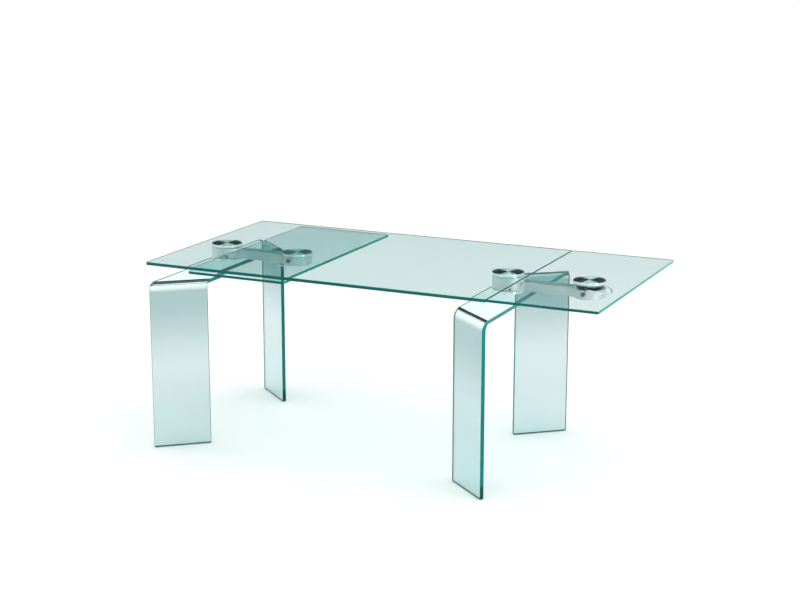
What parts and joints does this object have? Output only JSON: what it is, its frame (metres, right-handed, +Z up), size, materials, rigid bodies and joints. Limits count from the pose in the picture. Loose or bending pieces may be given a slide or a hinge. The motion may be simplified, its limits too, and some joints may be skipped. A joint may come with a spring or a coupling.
{
  "type": "extendable dining table",
  "caption": "Clear glass dining table on two bent-glass bases, with glass leaves on swing arms that hide under the top or lift flush with its ends.",
  "frame": {"origin": "on the floor under the middle of the whole object at rest, right leaf out and left leaf hidden", "axes": "+X along the table towards the leaf that is out, +Y across it towards the back, +Z up"},
  "size_m": [1.814, 0.9, 0.745],
  "materials": {
    "top_glass": "clear float glass with ground and polished edges, deep green-blue seen through the edge",
    "base_glass": "clear float glass bent in the kiln, polished edges",
    "cast_aluminium": "bead-blasted and satin polished casting",
    "turned_steel": "turned stainless steel with fine concentric tool lines",
    "bright_steel": "polished stainless steel wire and bar",
    "bronze": "plain sintered bronze",
    "nylon": "plain white nylon",
    "dark_screw": "blackened steel",
    "foot_strip": "dark translucent vinyl strip"
  },
  "bodies": {
    "root": {"main_top": "top_glass", "left_base_glass": "base_glass", "left_front_foot_pad": "foot_strip", "left_back_foot_pad": "foot_strip", "left_base_flange": "turned_steel", "left_column_shaft": "turned_steel", "left_lower_thrust_washer": "nylon", "left_upper_thrust_washer": "nylon", "left_column_disc": "turned_steel", "right_base_glass": "base_glass", "right_front_foot_pad": "foot_strip", "right_back_foot_pad": "foot_strip", "right_base_flange": "turned_steel", "right_column_shaft": "turned_steel", "right_lower_thrust_washer": "nylon", "right_upper_thrust_washer": "nylon", "right_column_disc": "turned_steel", "right_arm": "cast_aluminium", "right_arm_bush": "bronze", "right_pressure_screw": "dark_screw", "right_boss_cover": "cast_aluminium", "right_cover_screw_1": "dark_screw", "right_cover_screw_2": "dark_screw", "right_cover_screw_3": "dark_screw", "right_front_shaft_bush": "bronze", "right_back_shaft_bush": "bronze"},
    "left_arm": {"left_arm": "cast_aluminium", "left_arm_bush": "bronze", "left_pressure_screw": "dark_screw", "left_boss_cover": "cast_aluminium", "left_cover_screw_1": "dark_screw", "left_cover_screw_2": "dark_screw", "left_cover_screw_3": "dark_screw", "left_front_shaft_bush": "bronze", "left_back_shaft_bush": "bronze"},
    "left_leaf": {"left_leaf": "top_glass", "left_leaf_disc": "turned_steel", "left_lift_piston": "turned_steel", "left_lift_rack": "bright_steel", "left_piston_screw_1": "dark_screw", "left_piston_screw_2": "dark_screw", "left_piston_screw_3": "dark_screw"},
    "left_lever": {"left_pinion_shaft": "bright_steel", "left_bail": "bright_steel", "left_front_knob": "turned_steel", "left_back_knob": "turned_steel"},
    "right_leaf": {"right_leaf": "top_glass", "right_leaf_disc": "turned_steel", "right_lift_piston": "turned_steel", "right_lift_rack": "bright_steel", "right_piston_screw_1": "dark_screw", "right_piston_screw_2": "dark_screw", "right_piston_screw_3": "dark_screw"},
    "right_lever": {"right_pinion_shaft": "bright_steel", "right_bail": "bright_steel", "right_front_knob": "turned_steel", "right_back_knob": "turned_steel"}
  },
  "joints": [
    {"name": "left_arm_swing", "type": "hinge", "parent": "root", "child": "left_arm", "pos_m": [-0.815, 0, 0.69], "axis": [0, 0, 1], "range_deg": [0, 180]},
    {"name": "left_leaf_lift", "type": "slide", "parent": "left_arm", "child": "left_leaf", "axis": [0, 0, 1], "range_m": [0, 0.005]},
    {"name": "left_lever_turn", "type": "hinge", "parent": "left_arm", "child": "left_lever", "pos_m": [-0.495, 0, 0.695], "axis": [0, 1, 0], "range_deg": [-45, 0]},
    {"name": "right_leaf_lift", "type": "slide", "parent": "root", "child": "right_leaf", "axis": [0, 0, 1], "range_m": [-0.018, 0]},
    {"name": "right_lever_turn", "type": "hinge", "parent": "root", "child": "right_lever", "pos_m": [0.721, 0, 0.695], "axis": [0, 1, 0], "range_deg": [0, 159]}
  ],
  "couplings": [
    {"joint": "left_lever_turn", "follows": "left_leaf_lift", "rad_per_m": -153.85},
    {"joint": "right_lever_turn", "follows": "right_leaf_lift", "rad_per_m": -153.85}
  ]
}
